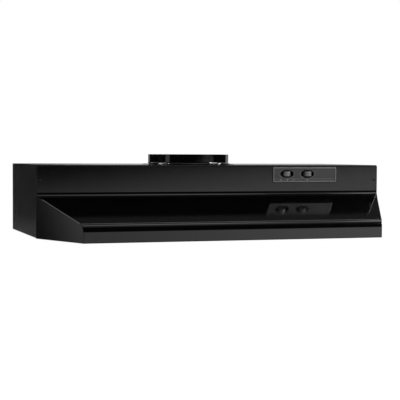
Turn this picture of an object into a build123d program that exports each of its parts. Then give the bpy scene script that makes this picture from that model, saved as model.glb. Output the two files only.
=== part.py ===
from build123d import *
import os
from math import atan2, cos, radians, sin, tan

# Under cabinet range hood. The origin is the middle of the box's top face, where it is screwed up.
# X runs to the right as seen from the front, the front faces -Y, Z points up. Sizes are millimetres.

# Outer shell
width = 762.0  # across the two side panels
box_depth = 295.3  # wall to front face
canopy_reach = 149.2  # front face to lip
height = 149.2  # bottom edge to top panel
face_height = 62.4  # top panel down to the bend of the canopy
lip_height = 34.5  # bottom edge up to the corner between canopy and lip
mitre_inset = 63.5  # how far a wing runs in towards the middle
sheet = 0.9  # steel of the shell
edge_radius = 2.4  # outside of the shell's folds
canopy_bend_radius = 8.0
bend_rise = 2.0  # the bend starts this far above the corner of face and canopy
bend_run = 6.0  # and runs into the canopy this far in front of it
bend_run_radius = 18.0
lip_radius = 18.0
rim_radius = 1.3  # fold between canopy and wing
flange = 14.0  # turned-in edges of the shell
hem_rise = 6.0  # turned-up end of a bottom flange
hem_radius = 1.6
nose_seam = 1.2  # closed corner between lip and wing
nose_seam_depth = 0.5
seam = 0.3  # gap between neighbouring sheets

# Holes for fastening the hood to the cabinet
slot_from_side = 36.0
slot_spacing_y = 203.2
slot_length = 16.0
slot_width = 5.5

# Wiring knockouts, scored part of the way through the sheet
knockout_radius = 11.1
knockout_groove = 0.6
knockout_score = 0.4

# Small fasteners
rivet_radius = 1.5
rivet_head_radius = 3.0
rivet_head = 0.9
rivet_tail = 0.8
screw_radius = 1.9
screw_head_radius = 3.6
screw_head = 2.0
screw_tail = 4.0
hole_clearance = 0.15
rivet_inset = 7.0  # from the end of the front face
rivet_drop = 32.0  # below the top

# Duct collar and damper
collar_from_wall = 110.0
collar_radius = 91.0
collar_height = 22.0
collar_sheet = 0.8
collar_flange = 14.0
collar_foot = 6.0  # upturned edge of the base ring
collar_foot_radius = 4.0
collar_screw_count = 4
orifice_radius = 85.0
orifice_depth = 8.0
orifice_bend_radius = 3.0
damper_level = 10.0
damper_pin_radius = 1.6
damper_sheet = 0.7
damper_gap = 1.4  # flap edge to collar wall
knuckle_wall = 0.9
knuckle_count = 5
knuckle_gap = 0.4
stop_tab_reach = 5.0
stop_tab_width = 9.0
running_clearance = 0.05

# Control panel
panel_width = 150.0
panel_height = 33.2
panel_from_side = 175.0
panel_drop = 20.9  # top panel down to its middle
panel_proud = 3.0
panel_corner = 2.5
panel_rim = 3.2
panel_edge_rounding = 1.8
panel_rim_rounding = 0.8
panel_field = 1.0  # field sunk below the rim
panel_line = 0.6  # groove above the label strip
label_strip = 4.2
well_width = 33.5
well_height = 18.6
well_taper = 3.0
well_depth = 10.0
well_wall = 1.4
well_rounding = 0.7
well_rise = 1.7  # well centres above the panel's middle
well_spacing = 48.0
well_offset = -41.5  # first well from the panel's middle
hook_width = 8.0
hook_length = 5.0

# Switches
switch_width = 30.0
switch_height = 21.0
switch_depth = 20.0
rocker_height = 10.4
rocker_stem = 8.0
rocker_cap = 14.0
rocker_cap_depth = 9.0
rocker_crown = 5.0  # rounded front of the cap
rocker_rounding = 1.2
rocker_proud = 4.5  # tip in front of the panel
rocker_barrel = 4.5
rocker_pivot = 5.5  # axis behind the well's back
trunnion_radius = 1.5
trunnion_length = 2.4
rocker_clearance = 0.5
light_rocker_tilt = 6.0
terminal_width = 6.3
terminal_thick = 0.8
terminal_length = 8.0

# Filter
filter_width = 268.0
filter_depth = 226.0
filter_thick = 9.0
filter_rail_width = 9.0
filter_groove = 4.0
filter_level = 105.5  # top panel down to its middle
mesh_thick = 6.0
mesh_fit = 0.2
mesh_pitch_x = 25.0
mesh_pitch_y = 17.0
mesh_strand = 2.0
seat_gap = 0.3
rail_wall = 0.8
rail_low_angle = -40.0
rail_high_angle = 100.0
rail_length = 220.0
pull_width = 24.0
pull_drop = 13.0
clip_width = 18.0
clip_height = 26.0
clip_sheet = 0.6
clip_spacing = 150.0

# Fan housing
housing_sheet = 0.8
housing_room = 3.0  # around the filter
housing_corner = 5.0
housing_flange = 12.0
housing_skirt = 3.0  # below the filter
housing_to_back = 4.0

# Motor
shaft_radius = 3.0
shaft_top = 8.0
bracket_level = 44.5
bracket_sheet = 1.5
bracket_width = 40.0
bracket_tab = 18.0
bracket_rib = 7.0
bracket_bend = 3.0
grommet_radius = 7.0
grommet_height = 4.0
grommet_rounding = 1.0
bolt_radius = 2.0
bolt_offset = 30.0
bolt_head_radius = 3.8
bolt_head = 2.6
bridge_height = 10.0
bridge_width = 16.0
bridge_thick = 6.0
bridge_reach = 36.0
bridge_post = 12.0
boss_radius = 8.0
boss_length = 3.0
bushing_radius = 5.0
stack_height = 22.0
stack_half_width = 38.0
stack_front = 30.0
stack_rear = 64.0
stack_corner = 4.0
stack_bore = 17.5
window_half_width = 24.0
window_front = 24.0
window_rear = 46.0
coil_thick = 9.5
coil_fit = 0.3
coil_corner = 6.0
air_gap = 0.5
rotor_overhang = 1.0

# Fan
blade_count = 5
fan_radius = 81.0
hub_radius = 16.0
hub_height = 24.0
hub_wall = 2.5
hub_neck_radius = 7.0
hub_neck = 6.0
blade_thick = 1.6
root_chord = 36.0
root_pitch = 42.0
tip_chord = 62.0
tip_pitch = 20.0
blade_camber = 0.09
fan_top = 9.0
clip_wire = 1.0

# Lamp
lamp_from_housing = 8.2  # edge of the fan housing's flange to the lamp housing
lamp_y = 10.0
lamp_width = 164.0
lamp_depth = 160.0
lamp_height = 74.0
lamp_level = 38.0
lamp_corner = 3.0
bulb_radius = 30.0
bulb_length = 104.0
bulb_neck_radius = 14.0
cap_radius = 13.0
cap_length = 24.0
socket_radius = 19.0
socket_length = 34.0
socket_floor = 6.0
lens_bead = 3.0
lens_wall = 1.6
lens_bulge = 9.0
lens_peg_radius = 1.5
lens_peg = 1.2
lens_rib_count = 12
lens_rib = 0.8
lug_width = 12.0

# Wiring
wiring_from_side = 106.0
wiring_width = 100.0
wiring_depth = 80.0
wiring_height = 48.0
wiring_sheet = 0.8
wiring_lip = 6.0
loom_radius = 3.5
loom_from_face = 22.0
loom_drop = 18.0  # run of the loom below the switches
loom_lead = 3.0
loom_bend = 24.0
loom_turn = 14.0
loom_loop = 8.0

# Places that follow from the sizes
half_width = width / 2
y_back = box_depth / 2
y_face = -box_depth / 2
y_lip = y_face - canopy_reach
z_under = -sheet
z_bottom = -height
z_bend = -face_height
z_lip = z_bottom + lip_height
wing_angle = atan2(mitre_inset, canopy_reach)
tip_half_width = half_width - mitre_inset
slot_x = half_width - slot_from_side
collar_y = y_back - collar_from_wall
panel_x = half_width - panel_from_side
panel_z = -panel_drop
panel_front = y_face - panel_proud
field_front = panel_front + panel_field
well_back = field_front + well_depth + well_wall
well_z = panel_z + well_rise
fan_switch_x = panel_x + well_offset
light_switch_x = fan_switch_x + well_spacing
rocker_y = well_back + rocker_pivot
filter_z = -filter_level
housing_half_width = filter_width / 2 + housing_room
housing_rear = y_back - sheet - housing_to_back - housing_sheet
housing_front = housing_rear - filter_depth - 2 * housing_room
housing_bottom = filter_z - filter_thick / 2 - housing_skirt
filter_axis_y = housing_rear - housing_room - filter_thick / 2
filter_front = housing_front + housing_room
bracket_under = -bracket_level - bracket_sheet
bridge_top = bracket_under - grommet_height
stack_top = bridge_top - bridge_height
stack_bottom = stack_top - stack_height
bridge_bottom = stack_bottom - bridge_height
lamp_x = housing_half_width + housing_sheet + housing_flange + lamp_from_housing + lamp_width / 2
lamp_rear = lamp_y + lamp_depth / 2
lamp_front = lamp_y - lamp_depth / 2
lens_z = -lamp_height - seat_gap - lens_bead
lens_axis_y = lamp_rear - lens_bead
wiring_x = -half_width + wiring_from_side
wiring_rear = y_back - sheet
wiring_front = wiring_rear - wiring_depth


def block(x, y, z):
    """A block between the two ends given along each axis."""
    middle = Pos((x[0] + x[1]) / 2, (y[0] + y[1]) / 2, (z[0] + z[1]) / 2)
    return middle * Box(abs(x[1] - x[0]), abs(y[1] - y[0]), abs(z[1] - z[0]))


def rod(radius, start, end):
    """A round bar from one point to another."""
    run = Vector(*end) - Vector(*start)
    return extrude(Plane(origin=start, z_dir=run) * Circle(radius), amount=run.length)


def prism(points, low, high):
    """An upright prism over a closed plan outline."""
    return extrude(Pos(0, 0, low) * make_face(Polyline(*points, close=True)), amount=high - low)


def bent_strip(points, radii, thickness):
    """Section of a folded sheet. The points run along one face, the metal lies to their left."""
    corners = [Vector(*point) for point in points]
    runs = [(b - a).normalized() for a, b in zip(corners, corners[1:])]
    lefts = [Vector(-run.Y, run.X) for run in runs]
    far = [corners[0] + lefts[0] * thickness]
    far_radii = []
    for i, radius in enumerate(radii):
        turn = runs[i].X * runs[i + 1].Y - runs[i].Y * runs[i + 1].X
        step = thickness / (1 + lefts[i].dot(lefts[i + 1]))
        far.append(corners[i + 1] + (lefts[i] + lefts[i + 1]) * step)
        far_radii.append(radius - thickness if turn > 0 else radius + thickness)
    far.append(corners[-1] + lefts[-1] * thickness)
    near_line = FilletPolyline(*corners, radius=radii)
    far_line = FilletPolyline(*far, radius=far_radii)
    return make_face([near_line, far_line, Line(corners[0], far[0]), Line(corners[-1], far[-1])])


def along_x(section, half_length):
    """Carry a section drawn as (y, z) equally far to both sides along X."""
    return extrude(Plane.YZ * section, amount=half_length, both=True)


def widest_circles(solid):
    """The round edges with the largest radius."""
    return solid.edges().filter_by(GeomType.CIRCLE).group_by(SortBy.RADIUS)[-1]


def rounded_line(corners, radii):
    """A line through the corners in space, each inner corner rounded by its radius."""
    points = [Vector(*corner) for corner in corners]
    pieces = []
    start = points[0]
    for before, corner, after, radius in zip(points, points[1:], points[2:], radii):
        back = (before - corner).normalized()
        onward = (after - corner).normalized()
        half_angle = radians(back.get_angle(onward)) / 2
        run = radius / tan(half_angle)
        to_middle = radius / sin(half_angle) - radius
        middle = corner + (back + onward).normalized() * to_middle
        pieces.append(Line(start, corner + back * run))
        pieces.append(ThreePointArc(corner + back * run, middle, corner + onward * run))
        start = corner + onward * run
    pieces.append(Line(start, points[-1]))
    return Wire(pieces)


def rivets(places, direction, grip):
    """Round-headed rivets. Each head sits on its place, the shank runs through the grip."""
    made = []
    for place in places:
        plane = Plane(origin=place, z_dir=direction)
        head = extrude(plane * Circle(rivet_head_radius), amount=-rivet_head)
        head = fillet(head.faces().sort_by(Axis(place, direction))[0].edges(), rivet_head * 0.7)
        made.append(head + extrude(plane * Circle(rivet_radius), amount=grip))
    return made


def screws(places, direction, grip):
    """Pan-headed screws. Each head sits on its place, the shank runs through the grip."""
    made = []
    for place in places:
        plane = Plane(origin=place, z_dir=direction)
        head = extrude(plane * Circle(screw_head_radius), amount=-screw_head)
        head = fillet(head.faces().sort_by(Axis(place, direction))[0].edges(), screw_head * 0.6)
        made.append(head + extrude(plane * Circle(screw_radius), amount=grip + screw_tail))
    return made


def drill(places, direction, radius, reach):
    """Round holes through whatever lies within the reach on both sides of each place."""
    planes = [Plane(origin=place, z_dir=direction) for place in places]
    return [extrude(plane * Circle(radius), amount=reach, both=True) for plane in planes]


def both_sides(points):
    """Points on the right, then their mirror images on the left."""
    return points + [(-x, y, z) for x, y, z in points]


# Fastener places, shared by the fasteners and the holes for them
face_rivet_places = both_sides([(half_width - rivet_inset, y_face, -rivet_drop)])
collar_screw_circle = collar_radius + (collar_flange + collar_foot_radius) / 2
collar_screw_places = [
    (
        collar_screw_circle * cos(radians(45 + 360 / collar_screw_count * i)),
        collar_y + collar_screw_circle * sin(radians(45 + 360 / collar_screw_count * i)),
        collar_sheet,
    )
    for i in range(collar_screw_count)
]
housing_rivet_x = housing_half_width + housing_sheet + housing_flange / 2
housing_rivet_z = z_under - housing_sheet
housing_rivet_places = both_sides(
    [
        (housing_rivet_x, housing_front + (housing_rear - housing_front) * share, housing_rivet_z)
        for share in (0.15, 0.5, 0.85)
    ]
)
bracket_screw_places = [
    (side * (housing_half_width + housing_sheet), collar_y + y, -bracket_level - bracket_tab * 0.6)
    for side in (-1, 1)
    for y in (-bracket_width / 4, bracket_width / 4)
]
cover_screw_y = wiring_front + wiring_sheet + 1.5 * screw_head_radius
cover_screw_places = [(wiring_x, cover_screw_y, -wiring_height - wiring_sheet)]
motor_bolt_places = [(side * bolt_offset, collar_y) for side in (-1, 1)]


def wing_line(inset):
    """Plan corners of the canopy, from the front face to the lip on both sides, stepped in by the inset."""
    step = inset / cos(wing_angle)
    right = [(half_width - step, y_face), (tip_half_width - step, y_lip + inset)]
    return right + [(-x, y) for x, y in reversed(right)]


def canopy():
    """Hollow canopy: sloped top, rounded nose, lip and mitred wings, with turned-in bottom and rear edges."""
    nose = FilletPolyline((y_face, z_bend), (y_lip, z_lip), (y_lip, z_bottom), radius=[lip_radius])
    section = make_face([nose, Polyline((y_lip, z_bottom), (y_face, z_bottom), (y_face, z_bend))])
    solid = along_x(section, half_width) & prism(wing_line(0), z_bottom, 0)
    free_edges = [edge for edge in solid.edges() if edge.center().Y < y_face - sheet]
    mitres = [edge for edge in free_edges if abs(edge.center().X) > sheet]
    foot = solid.faces().sort_by(Axis.Z)[0].edges().sort_by(Axis.Y)[0]
    solid = fillet(mitres + [foot], rim_radius)
    shell = solid - offset(solid, amount=-sheet)
    rear_half = half_width - flange
    rear_window = block((-rear_half, rear_half), (y_face - sheet, y_face), (z_bottom, z_bend))
    bottom_window = prism(wing_line(flange), z_bottom, z_bottom + sheet)
    hem = prism(wing_line(flange - sheet), z_bottom, z_bottom + hem_rise) - prism(
        wing_line(flange), z_bottom, z_bottom + hem_rise
    )
    seam_room = block(
        (tip_half_width - sheet - nose_seam, tip_half_width - sheet),
        (y_lip, y_lip + lip_radius),
        (z_bottom + rim_radius, z_lip + lip_radius / 3),
    )
    groove = seam_room & (solid - offset(solid, amount=-nose_seam_depth))
    fold_window = block(
        (-rear_half, rear_half),
        (y_face - 2 * bend_run, y_face),
        (z_bend - 4 * bend_run, z_bend),
    )
    open_places = [rear_window, fold_window, bottom_window, groove, mirror(groove, about=Plane.YZ)]
    return shell + hem - open_places


def front_panel():
    """Front face folded into the canopy, with a top flange, a window for the controls and rivet holes."""
    slope = (z_bend - z_lip) / canopy_reach
    overlap = 3 * bend_run
    path = [
        (y_face + flange, z_under),
        (y_face, z_under),
        (y_face, z_bend + bend_rise),
        (y_face - bend_run, z_bend - bend_run * slope),
        (y_face - overlap, z_bend - overlap * slope),
    ]
    radii = [edge_radius, canopy_bend_radius, bend_run_radius]
    face = along_x(bent_strip(path, radii, sheet), half_width)
    bend = FilletPolyline(*path[1:], radius=radii[1:])
    corner = Polyline(bend @ 1, (y_face, z_bend), bend @ 0)
    gusset = along_x(make_face([bend, corner]), half_width)
    face = face + (gusset - along_x(make_face([bend, corner]), half_width - flange))
    flange_edge = half_width - flange - seam
    right = [
        (flange_edge, y_face + 2 * flange),
        (flange_edge, y_face + sheet),
        (half_width, y_face + sheet),
        (half_width, y_face),
        (tip_half_width, y_lip),
    ]
    left = [(-x, y) for x, y in reversed(right)]
    face = face & prism(right + left, z_bottom, 0)
    window_x = (fan_switch_x + light_switch_x) / 2
    window_half = well_spacing / 2 + well_width / 2 + well_wall + seam
    window_half_height = well_height / 2 + well_wall + seam
    window = block(
        (window_x - window_half, window_x + window_half),
        (y_face - sheet, y_face + 2 * sheet),
        (well_z - window_half_height, well_z + window_half_height),
    )
    holes = drill(face_rivet_places, (0, 1, 0), rivet_radius + hole_clearance, 3 * sheet)
    return face + canopy() - [window, *holes]


def side_panel():
    """Right side: a shallow pan with its rim turned inwards and a hem on the bottom rim."""
    pan = block((half_width - flange, half_width), (y_face + sheet, y_back - sheet), (z_bottom, z_under))
    pan = fillet(pan.faces().sort_by(Axis.X)[-1].edges(), edge_radius)
    pan = offset(pan, amount=-sheet, openings=pan.faces().sort_by(Axis.X)[0])
    hem = block(
        (half_width - flange, half_width - flange + sheet),
        (y_face + 2 * sheet, y_back - 2 * sheet),
        (z_bottom, z_bottom + hem_rise),
    )
    holes = drill(face_rivet_places, (0, 1, 0), rivet_radius + hole_clearance, 3 * sheet)
    return pan + hem - holes


def knockout(centre, direction):
    """Ring scored into the outer face of a sheet around a wiring knockout."""
    ring = Circle(knockout_radius) - Circle(knockout_radius - knockout_groove)
    return extrude(Plane(origin=centre, z_dir=direction) * ring, amount=-knockout_score)


def back_panel():
    """Wall side, with a turned-in and hemmed bottom edge between the side panels."""
    path = [
        (y_back - flange, z_bottom + hem_rise),
        (y_back - flange, z_bottom),
        (y_back, z_bottom),
        (y_back, z_under),
    ]
    plate = along_x(bent_strip(path, [hem_radius, edge_radius], sheet), half_width - seam)
    corner = (half_width - flange - seam, half_width)
    for side in (-1, 1):
        plate = plate - block(
            (side * corner[0], side * corner[1]),
            (y_back - 2 * flange, y_back - sheet),
            (z_bottom, z_bottom + 2 * hem_rise),
        )
    return plate - knockout((wiring_x, y_back, -wiring_height / 2), (0, 1, 0))


def top_panel():
    """Top sheet with the fan's drawn orifice, the slots for the cabinet screws and a wiring knockout."""
    plate = block((-half_width + sheet, half_width - sheet), (y_face + sheet, y_back), (z_under, 0))
    ring = orifice_radius + 2 * orifice_bend_radius
    plate = plate - Pos(0, collar_y) * Cylinder(ring, 4 * sheet)
    path = [(ring, 0), (orifice_radius, 0), (orifice_radius, -orifice_depth)]
    rim = Plane.XZ * bent_strip(path, [orifice_bend_radius], sheet)
    plate = plate + Pos(0, collar_y) * revolve(rim, Axis.Z)
    slots = [
        Pos(x * slot_x, y * slot_spacing_y / 2, -2 * sheet)
        * extrude(SlotOverall(slot_length, slot_width), amount=4 * sheet)
        for x in (-1, 1)
        for y in (-1, 1)
    ]
    collar_holes = drill(collar_screw_places, (0, 0, 1), screw_radius + hole_clearance, 4 * sheet)
    housing_holes = drill(housing_rivet_places, (0, 0, 1), rivet_radius + hole_clearance, 4 * sheet)
    score = knockout((wiring_x, wiring_front + wiring_depth / 2, 0), (0, 0, 1))
    return plate - [*slots, *collar_holes, *housing_holes, score]


def collar_base():
    """Ring that holds the collar: a flange on the top panel and a flared foot, flush with the tube above it."""
    path = [
        (collar_radius + collar_flange, collar_sheet),
        (collar_radius, collar_sheet),
        (collar_radius, collar_foot),
    ]
    section = Plane.XZ * bent_strip(path, [collar_foot_radius], collar_sheet)
    holes = drill(collar_screw_places, (0, 0, 1), screw_radius + hole_clearance, 3 * collar_sheet)
    return Pos(0, collar_y) * revolve(section, Axis.Z) - holes


def duct_collar():
    """Tube for the duct. Its lower end is stepped in to stand inside the foot; tabs stop the damper flaps."""
    inner = collar_radius - collar_sheet
    neck = inner - running_clearance
    step = collar_foot + running_clearance
    profile = [
        (neck - collar_sheet, 0),
        (neck, 0),
        (neck, step),
        (collar_radius, step),
        (collar_radius, collar_height),
        (inner, collar_height),
        (inner, step + collar_sheet),
        (neck - collar_sheet, step + collar_sheet),
    ]
    tube = revolve(Plane.XZ * make_face(Polyline(*profile, close=True)), Axis.Z)
    tab_top = damper_level - damper_sheet / 2 - seat_gap
    for angle in (45, 135, 225, 315):
        tab = block(
            (inner - stop_tab_reach, inner + collar_sheet / 2),
            (-stop_tab_width / 2, stop_tab_width / 2),
            (tab_top - collar_sheet, tab_top),
        )
        tube = tube + Rot(0, 0, angle) * tab
    pin_hole = rod(
        damper_pin_radius + running_clearance,
        (-2 * collar_radius, 0, damper_level),
        (2 * collar_radius, 0, damper_level),
    )
    return Pos(0, collar_y) * (tube - pin_hole)


def damper_pin():
    """Straight pin across the collar, ending flush with the outside of its wall."""
    reach = collar_radius - collar_sheet / 2
    return rod(damper_pin_radius, (-reach, collar_y, damper_level), (reach, collar_y, damper_level))


def damper_flap(side):
    """Half-round flap with rolled knuckles on the pin. The flaps take turns along the pin."""
    radius = collar_radius - collar_sheet - damper_gap
    bore = damper_pin_radius + running_clearance
    knuckle = bore + knuckle_wall
    leaf = extrude(Circle(radius), amount=damper_sheet / 2, both=True)
    leaf = leaf & block((-radius, radius), (0, side * radius), (-damper_sheet, damper_sheet))
    span = 2 * (radius - knuckle) / knuckle_count
    first = -radius + knuckle
    for i in range(knuckle_count):
        start = first + span * i
        own = (i % 2 == 0) == (side > 0)
        if own:
            ends = (start + knuckle_gap / 2, start + span - knuckle_gap / 2)
            leaf = leaf + rod(knuckle, (ends[0], 0, 0), (ends[1], 0, 0))
        else:
            gap = knuckle + knuckle_gap
            leaf = leaf - block((start, start + span), (0, side * gap), (-knuckle, knuckle))
    leaf = leaf - rod(bore, (-2 * radius, 0, 0), (2 * radius, 0, 0))
    leaf = leaf - block((-2 * radius, first), (-2 * knuckle, 2 * knuckle), (-knuckle, knuckle))
    leaf = leaf - block((-first, 2 * radius), (-2 * knuckle, 2 * knuckle), (-knuckle, knuckle))
    return Pos(0, collar_y, damper_level) * leaf


def control_panel():
    """Moulded bezel: raised rim, sunk field, label strip line, two oval finger wells and snap hooks."""
    face = Plane(origin=(panel_x, y_face, panel_z), x_dir=(1, 0, 0), z_dir=(0, -1, 0))
    plate = extrude(face * RectangleRounded(panel_width, panel_height, panel_corner), amount=panel_proud)
    plate = fillet(plate.faces().sort_by(Axis.Y)[0].edges(), panel_edge_rounding)
    field_width = panel_width - 2 * panel_rim
    field_height = panel_height - 2 * panel_rim
    front = face.offset(panel_proud)
    field = front * RectangleRounded(field_width, field_height, panel_corner / 2)
    plate = plate - extrude(field, amount=-panel_field)
    plate = fillet(plate.faces().sort_by(Axis.Y)[0].inner_wires()[0].edges(), panel_rim_rounding)
    line_z = panel_z - field_height / 2 + label_strip
    plate = plate - block(
        (panel_x - field_width / 2, panel_x + field_width / 2),
        (field_front, field_front + panel_line / 2),
        (line_z, line_z + panel_line),
    )
    window_top = well_z + well_height / 2 + well_wall
    window_low = well_z - well_height / 2 - well_wall
    for x in (fan_switch_x, light_switch_x):
        mouth = Plane(origin=(x, field_front, well_z), x_dir=(1, 0, 0), z_dir=(0, 1, 0))
        cup_mouth = Ellipse(well_width / 2 + well_wall, well_height / 2 + well_wall)
        cup = extrude(mouth * cup_mouth, amount=well_back - field_front)
        bowl_mouth = Ellipse(well_width / 2, well_height / 2)
        bowl_floor = Ellipse(well_width / 2 - well_taper, well_height / 2 - well_taper / 2)
        bowl = loft([mouth.offset(-well_wall) * bowl_mouth, mouth.offset(well_depth) * bowl_floor])
        flare_sections = []
        for angle in (0, 30, 60, 90):
            spread = well_rounding * (1 - sin(radians(angle)))
            depth = well_rounding * (1 - cos(radians(angle)))
            oval = Ellipse(well_width / 2 + spread, well_height / 2 + spread)
            flare_sections.append(mouth.offset(depth) * oval)
        flare = loft(flare_sections)
        throat_half = rocker_stem / 2 + rocker_pivot / 2
        throat = block(
            (x - throat_half, x + throat_half),
            (field_front, well_back + well_wall),
            (well_z - rocker_height / 2 - rocker_clearance, well_z + rocker_height / 2 + rocker_clearance),
        )
        plate = plate + cup - [bowl, flare, throat]
        for edge, turn in ((window_top, 1), (window_low, -1)):
            arm = block(
                (x - hook_width / 2, x + hook_width / 2),
                (y_face, y_face + sheet + hook_length),
                (edge - turn * well_wall, edge),
            )
            barb = block(
                (x - hook_width / 2, x + hook_width / 2),
                (y_face + sheet + seam, y_face + sheet + hook_length),
                (edge, edge + turn * 2 * seam),
            )
            plate = plate + [arm, barb] - bowl
    return plate


def switch_body(x):
    """Switch case behind a well, with the pocket and pivot holes of its paddle."""
    case = block(
        (x - switch_width / 2, x + switch_width / 2),
        (well_back, well_back + switch_depth),
        (well_z - switch_height / 2, well_z + switch_height / 2),
    )
    case = fillet(case.edges().filter_by(Axis.Y), well_wall)
    pocket_half = rocker_barrel + rocker_clearance + well_wall
    pocket = block(
        (x - pocket_half, x + pocket_half),
        (well_back, rocker_y + rocker_barrel + rocker_clearance),
        (well_z - rocker_height / 2 - rocker_clearance, well_z + rocker_height / 2 + rocker_clearance),
    )
    pivot = rod(
        trunnion_radius + running_clearance,
        (x, rocker_y, well_z - switch_height),
        (x, rocker_y, well_z + switch_height),
    )
    return case - [pocket, pivot]


def rocker(x, tilt):
    """Round-fronted paddle on a barrel with a trunnion at each end. The tilt turns it to the right."""
    reach = rocker_y - panel_front + rocker_proud
    stem = rocker_stem / 2
    cap = rocker_cap / 2
    shoulder = reach - rocker_cap_depth
    neck = shoulder - (cap - stem)
    side = [(cap, rocker_crown - reach), (cap, -shoulder), (stem, -neck), (stem, 0)]
    sides = Polyline(*side, *[(-x, y) for x, y in reversed(side)])
    front = ThreePointArc(sides @ 1, (0, -reach), sides @ 0)
    paddle = extrude(make_face([sides, front]), amount=rocker_height / 2, both=True)
    paddle = fillet(paddle.edges().filter_by(GeomType.CIRCLE), rocker_rounding)
    barrel = Cylinder(rocker_barrel, rocker_height)
    trunnions = Cylinder(trunnion_radius, rocker_height + 2 * trunnion_length)
    return Pos(x, rocker_y, well_z) * Rot(0, 0, tilt) * (paddle + [barrel, trunnions])


def switch_terminals():
    """Flat blades on the backs of the switches: three on the fan switch, two on the light switch."""
    rear = well_back + switch_depth
    places = [fan_switch_x + step * switch_width / 3.5 for step in (-1, 0, 1)]
    places += [light_switch_x + step * switch_width / 4 for step in (-1, 1)]
    return [
        block(
            (x - terminal_thick / 2, x + terminal_thick / 2),
            (rear, rear + terminal_length),
            (well_z - terminal_width / 2, well_z + terminal_width / 2),
        )
        for x in places
    ]


def fan_housing():
    """Sheet box around fan and motor, open below for the filter, flanged to the top panel."""
    middle = Pos(0, (housing_front + housing_rear) / 2)
    room_width = 2 * housing_half_width
    room_depth = housing_rear - housing_front
    room = RectangleRounded(room_width, room_depth, housing_corner)
    outer = RectangleRounded(room_width + 2 * housing_sheet, room_depth + 2 * housing_sheet, housing_corner)
    lip = Rectangle(room_width + 2 * (housing_sheet + housing_flange), room_depth + 2 * housing_sheet)
    walls = extrude(middle * Pos(0, 0, housing_bottom) * (outer - room), amount=z_under - housing_bottom)
    walls = walls + extrude(middle * Pos(0, 0, z_under) * (lip - room), amount=-housing_sheet)
    rivet_holes = drill(housing_rivet_places, (0, 0, 1), rivet_radius + hole_clearance, 2 * housing_sheet)
    screw_holes = drill(bracket_screw_places, (1, 0, 0), screw_radius + hole_clearance, 3 * housing_sheet)
    return walls - [*rivet_holes, *screw_holes]


def motor_bracket():
    """Folded strap across the fan housing, ribbed along both edges, with a hole for the fan's neck."""
    reach = housing_half_width
    path = [
        (reach, -bracket_level - bracket_tab),
        (reach, -bracket_level),
        (-reach, -bracket_level),
        (-reach, -bracket_level - bracket_tab),
    ]
    strap = bent_strip(path, [bracket_bend, bracket_bend], bracket_sheet)
    strap = extrude(Plane.XZ * strap, amount=bracket_width / 2, both=True)
    rib_reach = reach - 4 * bracket_bend
    for side in (-1, 1):
        strap = strap + block(
            (-rib_reach, rib_reach),
            (side * (bracket_width / 2 - bracket_sheet), side * bracket_width / 2),
            (-bracket_level - bracket_rib, -bracket_level),
        )
    strap = Pos(0, collar_y) * strap
    centre = Pos(0, collar_y, -bracket_level) * Cylinder(hub_neck_radius + 4 * clip_wire, 4 * bracket_sheet)
    bolts = [
        Pos(x, y, -bracket_level) * Cylinder(bolt_radius + hole_clearance, 4 * bracket_sheet)
        for x, y in motor_bolt_places
    ]
    holes = drill(bracket_screw_places, (1, 0, 0), screw_radius + hole_clearance, 4 * bracket_sheet)
    return strap - [centre, *bolts, *holes]


def motor_grommets():
    """Rubber rings between the strap and the motor, one round each bolt."""
    ring = Circle(grommet_radius) - Circle(bolt_radius + hole_clearance)
    rings = [extrude(Pos(x, y, bridge_top) * ring, amount=grommet_height) for x, y in motor_bolt_places]
    return [fillet(widest_circles(made), grommet_rounding) for made in rings]


def motor_bolts():
    """Two long bolts with a head on the strap and a nut under the lower bearing bracket."""
    made = []
    for x, y in motor_bolt_places:
        shank = rod(bolt_radius, (x, y, bridge_bottom - bolt_head), (x, y, -bracket_level))
        head = Pos(x, y, -bracket_level) * extrude(Circle(bolt_head_radius), amount=bolt_head)
        nut = Pos(x, y, bridge_bottom) * extrude(RegularPolygon(bolt_head_radius, 6), amount=-bolt_head)
        made.append(shank + [head, nut])
    return made


def bearing_bracket(foot, crown):
    """Cast bridge over the rotor: two posts on the stack, a beam and a boss that holds the bushing."""
    up = 1 if crown > foot else -1
    inner = bridge_reach - bridge_post
    beam = crown - up * bridge_thick
    points = [
        (-bridge_reach, foot),
        (-bridge_reach, crown),
        (bridge_reach, crown),
        (bridge_reach, foot),
        (inner, foot),
        (inner - bridge_post / 3, beam),
        (-inner + bridge_post / 3, beam),
        (-inner, foot),
    ]
    body = extrude(Plane.XZ * make_face(Polyline(*points, close=True)), amount=bridge_width / 2, both=True)
    body = fillet(body.edges().filter_by(Axis.Z), bridge_width / 4)
    boss = Pos(0, 0, beam) * extrude(Circle(boss_radius), amount=-up * boss_length)
    bore = Cylinder(bushing_radius + hole_clearance / 3, 4 * height)
    bolt_hole = Cylinder(bolt_radius + hole_clearance, 4 * height)
    bolts = [Pos(side * bolt_offset, 0) * bolt_hole for side in (-1, 1)]
    return Pos(0, collar_y) * (body + boss - [bore, *bolts])


def bushing(foot, crown):
    """Plain bearing, as long as the beam and boss that hold it."""
    up = 1 if crown > foot else -1
    low = crown - up * (bridge_thick + boss_length)
    ring = Circle(bushing_radius) - Circle(shaft_radius + running_clearance)
    return Pos(0, collar_y, low) * extrude(ring, amount=crown - low)


def stator_stack():
    """Laminated frame with the rotor's bore, the coil window and two bolt holes."""
    plan = Pos(0, (stack_rear - stack_front) / 2) * RectangleRounded(
        2 * stack_half_width, stack_front + stack_rear, stack_corner
    )
    window = Rectangle(2 * window_half_width, window_rear - window_front)
    window = Pos(0, (window_front + window_rear) / 2) * window
    bolts = [Pos(side * bolt_offset, 0) * Circle(bolt_radius + hole_clearance) for side in (-1, 1)]
    plan = plan - [Circle(stack_bore), window, *bolts]
    return Pos(0, collar_y, stack_bottom) * extrude(plan, amount=stack_height)


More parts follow.
